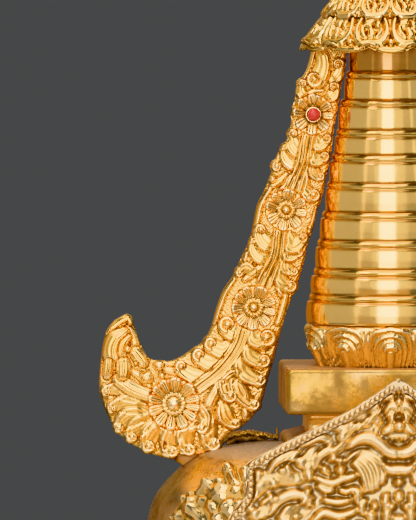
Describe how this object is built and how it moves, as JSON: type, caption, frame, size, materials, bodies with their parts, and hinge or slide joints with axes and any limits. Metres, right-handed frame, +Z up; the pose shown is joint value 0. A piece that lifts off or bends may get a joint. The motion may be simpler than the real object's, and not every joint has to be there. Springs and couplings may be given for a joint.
{
  "type": "gilt copper votive stupa, shelf size",
  "caption": "Gilt copper votive stupa: stepped throne, vase dome with gabled niche front, ringed spire, petal umbrella, moon, sun and jewel, and two scrolled ribbons.",
  "frame": {"origin": "centre of the underside of the base", "axes": "+Z up along the spire, -Y towards the niche front, +X to the viewer's right"},
  "size_m": [0.304, 0.304, 0.5489],
  "materials": {
    "gilt": "satin fire gilding, chased",
    "polished_gilt": "burnished gilding",
    "dull_gilt": "worn and dusty gilding",
    "coral": "polished coral"
  },
  "bodies": {
    "root": {"base_slab": "gilt", "throne_waist": "gilt", "throne_panel_front": "gilt", "throne_panel_right": "gilt", "throne_panel_back": "gilt", "throne_panel_left": "gilt", "throne_cornice": "gilt", "step_1": "gilt", "step_2": "gilt", "step_3": "gilt", "step_4": "gilt", "dome_lotus": "gilt", "dome": "dull_gilt", "foliage_left": "gilt", "foliage_right": "gilt", "niche_sill": "gilt", "niche_cheek_left": "gilt", "niche_cheek_right": "gilt", "gable_plate": "gilt", "harmika_neck": "gilt", "harmika_block": "gilt", "spire_lotus": "gilt", "ring_1": "polished_gilt", "ring_2": "polished_gilt", "ring_3": "polished_gilt", "ring_4": "polished_gilt", "ring_5": "polished_gilt", "ring_6": "polished_gilt", "ring_7": "polished_gilt", "ring_8": "polished_gilt", "ring_9": "polished_gilt", "spire_neck": "polished_gilt", "umbrella_lower": "gilt", "umbrella_upper": "gilt", "umbrella_crown": "gilt", "moon": "polished_gilt", "sun": "polished_gilt", "jewel": "polished_gilt", "ribbon_left": "gilt", "ribbon_right": "gilt", "ribbon_strap_left": "dull_gilt", "ribbon_strap_right": "dull_gilt", "coral_left": "coral", "coral_right": "coral"}
  },
  "joints": []
}
